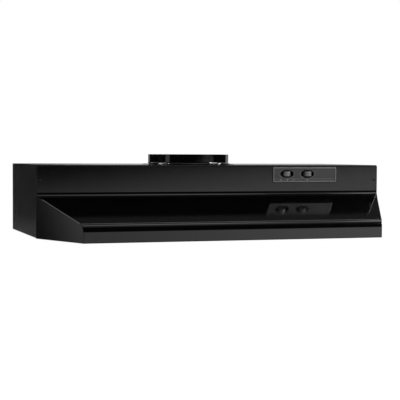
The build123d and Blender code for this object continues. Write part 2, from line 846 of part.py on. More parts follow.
def stator_coil():
    """Taped coil round the outer leg of the stack."""
    leg_depth = stack_rear - window_rear
    hole = Rectangle(leg_depth + 2 * coil_fit, stack_height + 2 * coil_fit)
    outline = RectangleRounded(leg_depth + 2 * coil_thick, stack_height + 2 * coil_thick, coil_corner)
    section = Pos((stack_rear + window_rear) / 2, (stack_top + stack_bottom) / 2) * (outline - hole)
    return Pos(0, collar_y) * along_x(section, window_half_width - coil_fit)


def rotor():
    """Squirrel-cage rotor on the shaft, a little taller than the stack."""
    ring = Circle(stack_bore - air_gap) - Circle(shaft_radius + hole_clearance / 3)
    body = extrude(ring, amount=stack_height + 2 * rotor_overhang)
    body = chamfer(widest_circles(body), rotor_overhang)
    return Pos(0, collar_y, stack_bottom - rotor_overhang) * body


def motor_shaft():
    """Straight shaft from the lower bushing up to the fan's hub."""
    return rod(shaft_radius, (0, collar_y, bridge_bottom), (0, collar_y, -shaft_top))


def blade_section(radius, chord, pitch):
    """Cambered plate section of a blade, square to the radius, turned by its pitch."""
    plane = Plane(origin=(radius, 0, 0), x_dir=(0, 1, 0), z_dir=(1, 0, 0))
    rise = chord * blade_camber
    half = blade_thick / 2
    upper = ThreePointArc((-chord / 2, half), (0, rise + half), (chord / 2, half))
    lower = ThreePointArc((-chord / 2, -half), (0, rise - half), (chord / 2, -half))
    ends = [Line(upper @ 0, lower @ 0), Line(upper @ 1, lower @ 1)]
    return plane * Rot(0, 0, pitch) * make_face([upper, lower, *ends])


def fan_blade():
    """Moulded fan: a cup-shaped hub with a split neck and twisted, cambered blades."""
    root_radius = hub_radius - hub_wall
    end_radius = fan_radius + tip_chord / 10
    blade = loft(
        [
            blade_section(root_radius, root_chord, root_pitch),
            blade_section(end_radius, tip_chord, tip_pitch),
        ]
    )
    middle = -fan_top - hub_height / 2
    sweep_room = Cylinder(fan_radius, 4 * hub_height) - Cylinder(hub_radius - hub_wall / 2, 4 * hub_height)
    blade = blade & sweep_room
    hub = Pos(0, 0, -hub_height / 2) * extrude(Circle(hub_radius), amount=hub_height)
    hub = fillet(hub.faces().sort_by(Axis.Z)[-1].edges(), hub_wall)
    hollow = Circle(hub_radius - hub_wall) - Circle(hub_neck_radius)
    hub = hub - extrude(Pos(0, 0, -hub_height / 2) * hollow, amount=hub_height - 2 * hub_wall)
    hub = hub + extrude(Pos(0, 0, -hub_height / 2) * Circle(hub_neck_radius), amount=-hub_neck)
    wheel = hub + [Rot(0, 0, 360 / blade_count * i) * blade for i in range(blade_count)]
    wheel = wheel - Cylinder(shaft_radius + hole_clearance / 3, 4 * hub_height)
    slit = block(
        (-hub_neck_radius, hub_neck_radius),
        (-clip_wire / 2, clip_wire / 2),
        (-hub_height / 2 - hub_neck, -hub_height / 2),
    )
    return Pos(0, collar_y, middle) * (wheel - slit)


def hub_clip():
    """Spring-wire ring that clamps the hub's split neck on the shaft."""
    level = -fan_top - hub_height - hub_neck / 2
    ring = Torus(hub_neck_radius + clip_wire + hole_clearance, clip_wire)
    gap = block((0, 2 * hub_neck_radius), (-clip_wire, clip_wire), (-clip_wire, clip_wire))
    return Pos(0, collar_y, level) * (ring - gap)


def filter_frame():
    """Channel frame with rounded edges. Its rear edge is a round bar, about which it drops."""
    half = filter_width / 2
    radius = filter_thick / 2
    rear = filter_axis_y
    body = block((-half, half), (filter_front, rear), (filter_z - radius, filter_z + radius))
    front_edges = body.faces().sort_by(Axis.Y)[0].edges().filter_by(Axis.X)
    side_edges = body.edges().filter_by(Axis.Y)
    body = fillet(front_edges + side_edges, filter_thick / 3)
    body = body + rod(radius, (-half, rear, filter_z), (half, rear, filter_z))
    inner_half = half - filter_rail_width
    inner = (filter_front + filter_rail_width, rear + radius - filter_rail_width)
    body = body - block((-inner_half, inner_half), inner, (filter_z - radius, filter_z + radius))
    groove_half = inner_half + filter_groove
    groove_rise = mesh_thick / 2 + mesh_fit
    return body - block(
        (-groove_half, groove_half),
        (inner[0] - filter_groove, inner[1] + filter_groove),
        (filter_z - groove_rise, filter_z + groove_rise),
    )


def filter_mesh():
    """Expanded-metal pad held in the frame's channel: a slab with staggered rows of diamond openings."""
    half = filter_width / 2 - filter_rail_width + filter_groove - mesh_fit
    front = filter_front + filter_rail_width - filter_groove + mesh_fit
    rear = filter_axis_y + filter_thick / 2 - filter_rail_width + filter_groove - mesh_fit
    count_x = int((half - filter_groove) * 2 / mesh_pitch_x)
    count_y = int((rear - front - 2 * filter_groove) / mesh_pitch_y)
    reach_x = mesh_pitch_x / 2 - mesh_strand
    reach_y = reach_x * mesh_pitch_y / mesh_pitch_x
    diamond = Polygon((-reach_x, 0), (0, -reach_y), (reach_x, 0), (0, reach_y), align=None)
    rows = GridLocations(mesh_pitch_x, mesh_pitch_y, count_x, count_y)
    between = GridLocations(mesh_pitch_x, mesh_pitch_y, count_x - 1, count_y - 1)
    slab = Rectangle(2 * half, rear - front) - [place * diamond for place in [*rows, *between]]
    return extrude(Pos(0, (front + rear) / 2, filter_z - mesh_thick / 2) * slab, amount=mesh_thick)


def filter_pull():
    """Bent tab under the filter's front edge, for a finger."""
    top = filter_z - filter_thick / 2
    start = filter_front + filter_rail_width
    path = [
        (start, top),
        (filter_front + filter_thick / 2, top),
        (filter_front + filter_thick / 2, top - pull_drop),
    ]
    return along_x(bent_strip(path, [hem_radius], clip_sheet), pull_width / 2)


def filter_rail():
    """Channel on the housing's rear wall that the filter's round rear edge sits in."""
    inner = filter_thick / 2 + seat_gap
    outer = inner + rail_wall
    low = radians(rail_low_angle)
    high = radians(rail_high_angle)
    middle = (low + high) / 2

    def at(radius, angle):
        return (filter_axis_y + radius * cos(angle), filter_z + radius * sin(angle))

    inner_arc = ThreePointArc(at(inner, low), at(inner, middle), at(inner, high))
    outer_arc = ThreePointArc(at(outer, low), at(outer, middle), at(outer, high))
    ends = [Line(inner_arc @ 0, outer_arc @ 0), Line(inner_arc @ 1, outer_arc @ 1)]
    channel = along_x(make_face([inner_arc, outer_arc, *ends]), rail_length / 2)
    web = block(
        (-rail_length / 2, rail_length / 2),
        (filter_axis_y + inner + rail_wall / 2, housing_rear),
        (filter_z - rail_wall, filter_z + rail_wall),
    )
    return channel + web


def filter_clips():
    """Two bowed leaf springs on the housing's front wall that hold the filter's front edge."""
    foot = housing_front + clip_sheet
    crest = filter_front - seat_gap
    low = filter_z - filter_thick / 2
    high = filter_z + filter_thick / 2
    near = ThreePointArc((foot, low), (crest, filter_z), (foot, high))
    far = ThreePointArc((housing_front, low), (crest - clip_sheet, filter_z), (housing_front, high))
    ends = [Line(near @ 0, far @ 0), Line(near @ 1, far @ 1)]
    leaf = along_x(make_face([near, far, *ends]), clip_width / 2)
    strap = block((-clip_width / 2, clip_width / 2), (housing_front, foot), (high, low + clip_height))
    return [Pos(side * clip_spacing / 2, 0) * (leaf + strap) for side in (-1, 1)]


def lamp_housing():
    """Light box beside the fan housing, open below, with two lugs for the lens."""
    outer = RectangleRounded(lamp_width, lamp_depth, lamp_corner)
    room = offset(outer, amount=-housing_sheet)
    place = Pos(lamp_x, lamp_y, -lamp_height)
    walls = extrude(place * (outer - room), amount=lamp_height - sheet)
    roof = extrude(Pos(lamp_x, lamp_y, z_under) * outer, amount=-housing_sheet)
    shell = walls + roof
    lug_low = lens_z - lens_bead
    for side in (-1, 1):
        edge = lamp_x + side * lamp_width / 2
        lug = block(
            (edge - side * housing_sheet, edge),
            (lens_axis_y - lug_width / 2, lens_axis_y + lens_bead),
            (lug_low, -lamp_height + lens_bead + lug_width),
        )
        shell = shell + lug
    pegs = rod(
        lens_peg_radius + running_clearance,
        (lamp_x - lamp_width, lens_axis_y, lens_z),
        (lamp_x + lamp_width, lens_axis_y, lens_z),
    )
    return shell - pegs


def lamp_socket():
    """Round lamp holder on the light box's rear wall."""
    rear = lamp_rear - housing_sheet
    plane = Plane(origin=(lamp_x, rear, -lamp_level), z_dir=(0, -1, 0))
    body = extrude(plane * Circle(socket_radius), amount=socket_length)
    body = fillet(body.faces().sort_by(Axis.Y)[0].edges(), 1.5)
    return body - extrude(plane.offset(socket_floor) * Circle(cap_radius + seat_gap), amount=socket_length)


def lamp_cap():
    """Screw shell of the bulb, with its contact button seated in the socket."""
    start = lamp_rear - housing_sheet - socket_floor
    plane = Plane(origin=(lamp_x, start, -lamp_level), z_dir=(0, -1, 0))
    shell = extrude(plane * Circle(cap_radius), amount=cap_length)
    return chamfer(shell.faces().sort_by(Axis.Y)[-1].edges(), cap_radius / 3)


def lamp_bulb():
    """Glass envelope: a neck that swells into a ball."""
    start = lamp_rear - housing_sheet - socket_floor - cap_length
    neck = cap_radius - seat_gap
    ball = bulb_length - cap_length - bulb_radius
    lean = bulb_radius * cos(radians(45))
    swell = [(neck, 0), (bulb_neck_radius, ball / 3), (bulb_radius, ball)]
    profile = [
        Line((0, 0), (neck, 0)),
        Spline(swell, tangents=[(0, 1), (0, 1)]),
        ThreePointArc((bulb_radius, ball), (lean, ball + lean), (0, ball + bulb_radius)),
        Line((0, ball + bulb_radius), (0, 0)),
    ]
    glass = revolve(make_face(profile), Axis.Y)
    return Pos(lamp_x, start, -lamp_level) * Rot(0, 0, 180) * glass


def lamp_lens():
    """Clear tray with ribs. Its rear bead turns on two pegs in the light box's lugs."""
    half = lamp_width / 2 - housing_sheet - seat_gap
    front = lamp_front + lens_bead
    top = lens_z + lens_bead
    low = lens_z - lens_bulge
    outer = block((-half, half), (front, lens_axis_y), (low, top))
    outer = fillet(outer.faces().sort_by(Axis.Z)[0].edges(), lens_bulge * 0.6)
    hollow = block(
        (-half + lens_wall, half - lens_wall),
        (front + lens_wall, lens_axis_y - lens_bead),
        (low + lens_wall, top),
    )
    hollow = fillet(hollow.faces().sort_by(Axis.Z)[0].edges(), lens_bulge * 0.4)
    tray = outer - hollow
    pitch = (lens_axis_y - lens_bead - front) / (lens_rib_count + 1)
    for i in range(lens_rib_count):
        middle = front + pitch * (i + 1)
        tray = tray + block(
            (-half + lens_wall, half - lens_wall),
            (middle - lens_rib, middle + lens_rib),
            (low + lens_wall / 2, low + lens_wall + lens_rib),
        )
    tray = tray - block((-half, half), (lens_axis_y, lens_axis_y + lens_bulge), (low, top))
    tray = tray - (
        block((-half, half), (lens_axis_y - lens_bead, lens_axis_y), (low, lens_z))
        - rod(lens_bead, (-half, lens_axis_y, lens_z), (half, lens_axis_y, lens_z))
    )
    tray = tray + rod(lens_bead, (-half, lens_axis_y, lens_z), (half, lens_axis_y, lens_z))
    reach = half + lens_peg
    tray = tray + rod(lens_peg_radius, (-reach, lens_axis_y, lens_z), (reach, lens_axis_y, lens_z))
    return Pos(lamp_x, 0) * tray


def wiring_box():
    """Box for the house wiring under the top panel, open below."""
    x = (wiring_x - wiring_width / 2, wiring_x + wiring_width / 2)
    outer = block(x, (wiring_front, wiring_rear), (-wiring_height, z_under))
    room = block(
        (x[0] + wiring_sheet, x[1] - wiring_sheet),
        (wiring_front + wiring_sheet, wiring_rear - wiring_sheet),
        (-wiring_height, z_under - wiring_sheet),
    )
    tab = block(
        (wiring_x - wiring_width / 8, wiring_x + wiring_width / 8),
        (wiring_front + wiring_sheet, wiring_front + wiring_sheet + 3 * screw_head_radius),
        (-wiring_height, -wiring_height + wiring_sheet),
    )
    hole = drill(cover_screw_places, (0, 0, 1), screw_radius + hole_clearance, 3 * wiring_sheet)
    return outer - room + tab - hole


def wiring_box_cover():
    """Lid of the wiring box, with an edge turned up outside its front wall."""
    path = [
        (wiring_front - wiring_sheet, -wiring_height + wiring_lip),
        (wiring_front - wiring_sheet, -wiring_height - wiring_sheet),
        (wiring_rear - seam, -wiring_height - wiring_sheet),
    ]
    lid = along_x(bent_strip(path, [wiring_sheet], wiring_sheet), wiring_width / 2)
    hole = drill(cover_screw_places, (0, 0, 1), screw_radius + hole_clearance, 3 * wiring_sheet)
    return Pos(wiring_x, 0) * lid - hole


def wire_loom():
    """Sleeved wiring from the wiring box, behind the front face, looped up to the fan switch's terminals."""
    run_y = y_face + sheet + loom_from_face
    run_z = well_z - loom_drop
    end_y = well_back + switch_depth + terminal_length
    loop_y = end_y + loom_lead + loom_loop
    corners = [
        (wiring_x, wiring_front, run_z),
        (wiring_x, run_y, run_z),
        (fan_switch_x, run_y, run_z),
        (fan_switch_x, loop_y, run_z),
        (fan_switch_x, loop_y, well_z),
        (fan_switch_x, end_y, well_z),
    ]
    path = rounded_line(corners, [loom_bend, loom_turn, loom_loop, loom_loop])
    return sweep(Plane(origin=corners[0], z_dir=(0, -1, 0)) * Circle(loom_radius), path)


nodes = {
    "front_panel": front_panel(),
    "right_side_panel": side_panel(),
    "left_side_panel": mirror(side_panel(), about=Plane.YZ),
    "back_panel": back_panel(),
    "top_panel": top_panel(),
    "face_rivets": rivets(face_rivet_places, (0, 1, 0), 2 * sheet + rivet_tail),
    "collar_base": collar_base(),
    "duct_collar": duct_collar(),
    "collar_screws": screws(collar_screw_places, (0, 0, -1), collar_sheet + sheet),
    "damper_pin": damper_pin(),
    "front_damper_flap": damper_flap(-1),
    "rear_damper_flap": damper_flap(1),
    "control_panel": control_panel(),
    "fan_switch_body": switch_body(fan_switch_x),
    "light_switch_body": switch_body(light_switch_x),
    "fan_rocker": rocker(fan_switch_x, 0),
    "light_rocker": rocker(light_switch_x, light_rocker_tilt),
    "switch_terminals": switch_terminals(),
    "fan_housing": fan_housing(),
    "housing_rivets": rivets(housing_rivet_places, (0, 0, 1), housing_sheet + sheet),
    "motor_bracket": motor_bracket(),
    "bracket_screws": screws(bracket_screw_places[:2], (1, 0, 0), housing_sheet + bracket_sheet)
    + screws(bracket_screw_places[2:], (-1, 0, 0), housing_sheet + bracket_sheet),
    "motor_grommets": motor_grommets(),
    "motor_bolts": motor_bolts(),
    "upper_bearing_bracket": bearing_bracket(stack_top, bridge_top),
    "lower_bearing_bracket": bearing_bracket(stack_bottom, bridge_bottom),
    "upper_bushing": bushing(stack_top, bridge_top),
    "lower_bushing": bushing(stack_bottom, bridge_bottom),
    "stator_stack": stator_stack(),
    "stator_coil": stator_coil(),
    "rotor": rotor(),
    "motor_shaft": motor_shaft(),
    "fan_blade": fan_blade(),
    "hub_clip": hub_clip(),
    "filter_frame": filter_frame(),
    "filter_mesh": filter_mesh(),
    "filter_pull": filter_pull(),
    "filter_rail": filter_rail(),
    "filter_clips": filter_clips(),
    "lamp_housing": lamp_housing(),
    "lamp_socket": lamp_socket(),
    "lamp_cap": lamp_cap(),
    "lamp_bulb": lamp_bulb(),
    "lamp_lens": lamp_lens(),
    "wiring_box": wiring_box(),
    "wiring_box_cover": wiring_box_cover(),
    "cover_screw": screws(cover_screw_places, (0, 0, 1), wiring_sheet),
    "wire_loom": wire_loom(),
}

os.makedirs("parts", exist_ok=True)
for name, shape in nodes.items():
    solids = shape if isinstance(shape, list) else [shape]
    made = [solid for piece in solids for solid in piece.solids()]
    export_step(made[0] if len(made) == 1 else Compound(made), f"parts/{name}.step")
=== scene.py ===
import math

import bmesh
import bpy
import numpy as np
from mathutils import Matrix, Vector


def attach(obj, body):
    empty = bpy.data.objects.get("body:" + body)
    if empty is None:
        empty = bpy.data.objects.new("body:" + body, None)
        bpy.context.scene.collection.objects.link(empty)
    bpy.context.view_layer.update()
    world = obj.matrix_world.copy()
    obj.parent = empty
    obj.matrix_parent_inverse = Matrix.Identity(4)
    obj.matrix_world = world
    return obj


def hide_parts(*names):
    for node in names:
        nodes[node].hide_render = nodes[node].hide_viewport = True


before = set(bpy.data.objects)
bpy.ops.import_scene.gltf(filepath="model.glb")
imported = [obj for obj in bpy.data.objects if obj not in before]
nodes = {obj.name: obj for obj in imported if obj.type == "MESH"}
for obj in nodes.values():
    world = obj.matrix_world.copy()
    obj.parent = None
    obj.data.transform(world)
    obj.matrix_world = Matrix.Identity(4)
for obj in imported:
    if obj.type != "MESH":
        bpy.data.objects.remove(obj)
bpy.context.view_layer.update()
scene = bpy.context.scene
scene.view_settings.view_transform = "Standard"

MM = 0.001

# Places on the hood, in millimetres, as in the solids
COLLAR_Y = 37.65
PANEL_X = 206.0
PANEL_Z = -20.9
PANEL_FIELD_Y = -149.65
PANEL_FIELD_HALF = (71.8, 13.4)  # half the width and the height inside the border
PANEL_RIM = 2.0  # width of the border's flat part
FAN_SWITCH_X = 164.5
LIGHT_SWITCH_X = 212.5
LABEL_Z = -32.2
FIGURE_HEIGHT = 2.9
LAMP_MARK_RADIUS = 1.15
INK = 0.03  # half the thickness of a printed mark
FACE_END = (379.87, -146.52)  # middle of the rounded fold down the right front corner
FACE_END_RADIUS = 1.6
FACE_END_Z = (-148.7, -3.0)
FILTER_HALF_WIDTH = 128.5
FILTER_Y = (-81.6, 133.5)
FILTER_LAYERS_Z = (-107.4, -105.5, -103.6)
COLLAR_SCREW_CIRCLE = 100.0
COLLAR_SCREW_Z = 0.8  # underside of the heads


# Materials

def material(name, roughness=0.5, metallic=0.0, colour=(0.8, 0.8, 0.8), ior=1.5):
    """A new node material with one Principled shader; returns the material, its node tree and the shader."""
    made = bpy.data.materials.new(name)
    made.use_nodes = True
    tree = made.node_tree
    shader = tree.nodes["Principled BSDF"]
    shader.inputs["Base Color"].default_value = (*colour, 1.0)
    shader.inputs["Roughness"].default_value = roughness
    shader.inputs["Metallic"].default_value = metallic
    shader.inputs["IOR"].default_value = ior
    made.diffuse_color = (*colour, 1.0)
    return made, tree, shader


def place_coordinates(tree, scale=(1.0, 1.0, 1.0)):
    """Object coordinates, stretched by the scale, so a pattern sits still on the piece."""
    coordinates = tree.nodes.new("ShaderNodeTexCoord")
    mapping = tree.nodes.new("ShaderNodeMapping")
    mapping.inputs["Scale"].default_value = scale
    tree.links.new(coordinates.outputs["Object"], mapping.inputs["Vector"])
    return mapping.outputs["Vector"]


def noise(tree, vector, scale, detail=2.0, roughness=0.5):
    """Cloudy noise with about `scale` cells to the metre."""
    node = tree.nodes.new("ShaderNodeTexNoise")
    node.inputs["Scale"].default_value = scale
    node.inputs["Detail"].default_value = detail
    node.inputs["Roughness"].default_value = roughness
    tree.links.new(vector, node.inputs["Vector"])
    return node.outputs["Fac"]


def spread(tree, value, low, high):
    """Map a value that runs from 0.3 to 0.7 onto the range from low to high."""
    node = tree.nodes.new("ShaderNodeMapRange")
    node.inputs["From Min"].default_value = 0.3
    node.inputs["From Max"].default_value = 0.7
    node.inputs["To Min"].default_value = low
    node.inputs["To Max"].default_value = high
    tree.links.new(value, node.inputs["Value"])
    return node.outputs["Result"]


def tint(tree, value, dark, light):
    """Mix two colours by a value that runs from 0.3 to 0.7."""
    ramp = tree.nodes.new("ShaderNodeValToRGB")
    ramp.color_ramp.elements[0].position = 0.3
    ramp.color_ramp.elements[0].color = (*dark, 1.0)
    ramp.color_ramp.elements[1].position = 0.7
    ramp.color_ramp.elements[1].color = (*light, 1.0)
    tree.links.new(value, ramp.inputs["Fac"])
    return ramp.outputs["Color"]


def bump(tree, shader, value, height):
    """Raise the surface by a value times a height in metres."""
    node = tree.nodes.new("ShaderNodeBump")
    node.inputs["Distance"].default_value = height
    node.inputs["Strength"].default_value = 1.0
    tree.links.new(value, node.inputs["Height"])
    tree.links.new(node.outputs["Normal"], shader.inputs["Normal"])


def enamel(name, dark, light, low, high, peel=4e-6):
    """Baked enamel: a faint orange peel a few millimetres across, and gloss that varies a little."""
    made, tree, shader = material(name, colour=light, ior=1.53)
    vector = place_coordinates(tree)
    cloud = noise(tree, vector, 9.0, 3.0)
    tree.links.new(tint(tree, cloud, dark, light), shader.inputs["Base Color"])
    tree.links.new(spread(tree, noise(tree, vector, 40.0, 4.0), low, high), shader.inputs["Roughness"])
    bump(tree, shader, noise(tree, vector, 260.0, 1.0), peel)
    return made


def moulded(name, dark, light, low, high, grain=700.0, depth=1.5e-5):
    """Moulded plastic with a fine spark-eroded grain."""
    made, tree, shader = material(name, colour=light, ior=1.5)
    vector = place_coordinates(tree)
    tree.links.new(tint(tree, noise(tree, vector, 60.0, 3.0), dark, light), shader.inputs["Base Color"])
    tree.links.new(spread(tree, noise(tree, vector, 150.0, 3.0), low, high), shader.inputs["Roughness"])
    bump(tree, shader, noise(tree, vector, grain, 2.0), depth)
    return made


def rolled_metal(name, dark, light, low, high, stretch=(3.0, 60.0, 60.0), depth=4e-6):
    """Bare metal with fine marks drawn out along one direction by rolling."""
    made, tree, shader = material(name, metallic=1.0, colour=light)
    lines = noise(tree, place_coordinates(tree, stretch), 22.0, 4.0)
    cloud = noise(tree, place_coordinates(tree), 30.0, 3.0)
    tree.links.new(tint(tree, cloud, dark, light), shader.inputs["Base Color"])
    tree.links.new(spread(tree, lines, low, high), shader.inputs["Roughness"])
    bump(tree, shader, lines, depth)
    return made


def spangle(name, dark, light):
    """Galvanised sheet: flat crystals, each with its own grey, in a zinc skin."""
    made, tree, shader = material(name, metallic=1.0, colour=light)
    vector = place_coordinates(tree)
    crystals = tree.nodes.new("ShaderNodeTexVoronoi")
    crystals.inputs["Scale"].default_value = 110.0
    tree.links.new(vector, crystals.inputs["Vector"])
    grey = tree.nodes.new("ShaderNodeSeparateColor")
    tree.links.new(crystals.outputs["Color"], grey.inputs["Color"])
    wide = tree.nodes.new("ShaderNodeMapRange")
    wide.inputs["To Min"].default_value = 0.3
    wide.inputs["To Max"].default_value = 0.7
    tree.links.new(grey.outputs["Red"], wide.inputs["Value"])
    tree.links.new(tint(tree, wide.outputs["Result"], dark, light), shader.inputs["Base Color"])
    tree.links.new(spread(tree, wide.outputs["Result"], 0.34, 0.5), shader.inputs["Roughness"])
    bump(tree, shader, noise(tree, vector, 400.0, 2.0), 4e-6)
    return made


black_enamel = enamel("black_enamel", (0.0007, 0.0007, 0.0008), (0.0012, 0.0012, 0.0013), 0.07, 0.12)
rivet_black = moulded("rivet_black", (0.0012, 0.0012, 0.0012), (0.002, 0.002, 0.002), 0.6, 0.7, 900.0, 4e-6)
rivet_black.node_tree.nodes["Principled BSDF"].inputs["Specular IOR Level"].default_value = 0.28
panel_plastic = moulded("panel_plastic", (0.021, 0.021, 0.022), (0.026, 0.026, 0.027), 0.5, 0.58, 2400.0, 2e-6)
rocker_plastic = moulded("rocker_plastic", (0.16, 0.16, 0.163), (0.19, 0.19, 0.193), 0.4, 0.46, 2400.0, 2e-6)
label_ink = moulded("label_ink", (0.72, 0.72, 0.72), (0.78, 0.78, 0.78), 0.5, 0.6, 2400.0, 1e-6)
switch_plastic = moulded("switch_plastic", (0.015, 0.015, 0.015), (0.03, 0.03, 0.03), 0.4, 0.55)
fan_plastic = moulded("fan_plastic", (0.36, 0.37, 0.38), (0.46, 0.47, 0.48), 0.38, 0.5)
socket_plastic = moulded("socket_plastic", (0.68, 0.66, 0.61), (0.78, 0.76, 0.71), 0.22, 0.34, 300.0)
coil_tape = moulded("coil_tape", (0.42, 0.32, 0.06), (0.56, 0.43, 0.09), 0.35, 0.5, 200.0, 6e-5)
loom_sleeve = moulded("loom_sleeve", (0.012, 0.012, 0.012), (0.05, 0.05, 0.05), 0.6, 0.8, 900.0, 1.5e-4)
grommet_rubber = moulded("grommet_rubber", (0.018, 0.018, 0.018), (0.03, 0.03, 0.03), 0.6, 0.75)
white_enamel = enamel("white_enamel", (0.72, 0.72, 0.7), (0.8, 0.8, 0.78), 0.22, 0.32)
galvanised = spangle("galvanised", (0.42, 0.44, 0.46), (0.62, 0.64, 0.66))
zinc_plate = rolled_metal("zinc_plate", (0.52, 0.53, 0.52), (0.66, 0.66, 0.64), 0.24, 0.36, (40.0, 40.0, 40.0))
damper_sheet = rolled_metal("damper_sheet", (0.62, 0.62, 0.63), (0.74, 0.74, 0.75), 0.26, 0.4)
filter_metal = rolled_metal("filter_metal", (0.66, 0.66, 0.67), (0.8, 0.8, 0.81), 0.24, 0.38)
cast_metal = rolled_metal("cast_metal", (0.42, 0.43, 0.44), (0.58, 0.59, 0.6), 0.4, 0.6, (60.0, 60.0, 60.0), 3e-5)
bronze = rolled_metal("bronze", (0.38, 0.24, 0.1), (0.52, 0.36, 0.18), 0.35, 0.5, (60.0, 60.0, 60.0))
brass = rolled_metal("brass", (0.66, 0.5, 0.22), (0.78, 0.63, 0.32), 0.24, 0.36, (60.0, 60.0, 60.0))
cap_metal = rolled_metal("cap_metal", (0.6, 0.56, 0.44), (0.72, 0.69, 0.58), 0.2, 0.3, (60.0, 60.0, 60.0))
lamination = rolled_metal("lamination", (0.1, 0.1, 0.11), (0.3, 0.31, 0.33), 0.35, 0.5, (1.0, 1.0, 90.0), 4e-5)


def paint_rim_highlight_and_shadow(made, middle, half_size, rim, light, dark):
    """Tones of the panel's raised border, by the distance beyond the half size of the field, in X or Z.

    Up to the rim's width the border is painted lighter, a painted highlight; its rounded outer edge, past that, is
    painted darker, a painted shadow line.
    """
    tree = made.node_tree
    shader = tree.nodes["Principled BSDF"]
    split = tree.nodes.new("ShaderNodeSeparateXYZ")
    tree.links.new(place_coordinates(tree), split.inputs[0])
    beyond = []
    for axis, centre, half in zip("XZ", middle, half_size):
        away = tree.nodes.new("ShaderNodeMath")
        away.operation = "SUBTRACT"
        away.inputs[1].default_value = centre * MM
        tree.links.new(split.outputs[axis], away.inputs[0])
        size = tree.nodes.new("ShaderNodeMath")
        size.operation = "ABSOLUTE"
        tree.links.new(away.outputs[0], size.inputs[0])
        past = tree.nodes.new("ShaderNodeMath")
        past.operation = "SUBTRACT"
        past.inputs[1].default_value = half * MM
        tree.links.new(size.outputs[0], past.inputs[0])
        beyond.append(past.outputs[0])
    either = tree.nodes.new("ShaderNodeMath")
    either.operation = "MAXIMUM"
    tree.links.new(beyond[0], either.inputs[0])
    tree.links.new(beyond[1], either.inputs[1])
    tone = shader.inputs["Base Color"].links[0].from_socket
    blur = 0.15
    for start, colour in ((0.0, light), (rim, dark)):
        edge = tree.nodes.new("ShaderNodeMapRange")
        edge.inputs["From Min"].default_value = (start - blur) * MM
        edge.inputs["From Max"].default_value = (start + blur) * MM
        tree.links.new(either.outputs[0], edge.inputs["Value"])
        mix = tree.nodes.new("ShaderNodeMix")
        mix.data_type = "RGBA"
        tree.links.new(edge.outputs["Result"], mix.inputs[0])
        tree.links.new(tone, mix.inputs[6])
        mix.inputs[7].default_value = (*colour, 1.0)
        tone = mix.outputs[2]
    tree.links.new(tone, shader.inputs["Base Color"])


def paint_well_highlight_and_shade(made, steps, shine_ends):
    """Tones of the wells by the depth in Y behind the panel's field, each step from one depth to another.

    The rounded mouth is painted lighter, a painted highlight, and the inside is painted dark, painted shade in the
    recess: its shine falls over the last step.
    """
    tree = made.node_tree
    shader = tree.nodes["Principled BSDF"]
    split = tree.nodes.new("ShaderNodeSeparateXYZ")
    tree.links.new(place_coordinates(tree), split.inputs[0])
    tone = shader.inputs["Base Color"].links[0].from_socket
    for start, end, colour in steps:
        depth = tree.nodes.new("ShaderNodeMapRange")
        depth.inputs["From Min"].default_value = (PANEL_FIELD_Y + start) * MM
        depth.inputs["From Max"].default_value = (PANEL_FIELD_Y + end) * MM
        tree.links.new(split.outputs["Y"], depth.inputs["Value"])
        mix = tree.nodes.new("ShaderNodeMix")
        mix.data_type = "RGBA"
        tree.links.new(depth.outputs["Result"], mix.inputs[0])
        tree.links.new(tone, mix.inputs[6])
        mix.inputs[7].default_value = (*colour, 1.0)
        tone = mix.outputs[2]
    tree.links.new(tone, shader.inputs["Base Color"])
    tree.links.new(spread(tree, depth.outputs["Result"], *shine_ends), shader.inputs["Specular IOR Level"])


# Painted light on the panel's border: a painted highlight on the rim and a painted shadow line along its outer edge
painted_highlight_rim, painted_shadow_edge = (0.15, 0.15, 0.152), (0.006, 0.006, 0.006)
paint_rim_highlight_and_shadow(panel_plastic, (PANEL_X, PANEL_Z), PANEL_FIELD_HALF, PANEL_RIM, painted_highlight_rim, painted_shadow_edge)
# Painted light in the wells: a painted highlight on the mouth and painted shade inside the recess
painted_highlight_mouth, painted_shade_well = (0.05, 0.15, (0.2, 0.2, 0.202)), (0.7, 1.6, (0.005, 0.005, 0.005))
paint_well_highlight_and_shade(panel_plastic, [painted_highlight_mouth, painted_shade_well], (0.5, 0.1))

finishes = {
    black_enamel: ["front_panel", "left_side_panel", "right_side_panel", "back_panel", "top_panel", "collar_base",
                   "duct_collar"],
    rivet_black: ["face_rivets"],
    panel_plastic: ["control_panel"],
    rocker_plastic: ["fan_rocker", "light_rocker"],
    switch_plastic: ["fan_switch_body", "light_switch_body"],
    fan_plastic: ["fan_blade"],
    socket_plastic: ["lamp_socket"],
    coil_tape: ["stator_coil"],
    loom_sleeve: ["wire_loom"],
    grommet_rubber: ["motor_grommets"],
    white_enamel: ["lamp_housing"],
    galvanised: ["fan_housing", "motor_bracket", "wiring_box", "wiring_box_cover", "filter_rail"],
    zinc_plate: ["collar_screws", "damper_pin", "housing_rivets", "bracket_screws", "motor_bolts", "cover_screw",
                 "hub_clip", "motor_shaft", "filter_clips"],
    damper_sheet: ["front_damper_flap", "rear_damper_flap"],
    filter_metal: ["filter_frame", "filter_mesh", "filter_pull"],
    cast_metal: ["upper_bearing_bracket", "lower_bearing_bracket", "rotor"],
    bronze: ["upper_bushing", "lower_bushing"],
    brass: ["switch_terminals"],
    cap_metal: ["lamp_cap"],
    lamination: ["stator_stack"],
}


def frosted_glass():
    """Lamp glass: mostly white scattering with a soft skin, a little light passing through."""
    made, tree, shader = material("frosted_glass", roughness=0.3, colour=(0.86, 0.86, 0.84))
    shader.inputs["Transmission Weight"].default_value = 0.25
    shader.inputs["IOR"].default_value = 1.45
    bump(tree, shader, noise(tree, place_coordinates(tree), 1500.0, 2.0), 6e-6)
    return made


def ribbed_clear():
    """Clear moulded plastic of the lens, slightly milky, with faint flow marks."""
    made, tree, shader = material("ribbed_clear", roughness=0.12, colour=(0.93, 0.94, 0.95))
    shader.inputs["Transmission Weight"].default_value = 0.85
    shader.inputs["IOR"].default_value = 1.49
    tree.links.new(spread(tree, noise(tree, place_coordinates(tree), 50.0, 3.0), 0.08, 0.2),
                   shader.inputs["Roughness"])
    return made


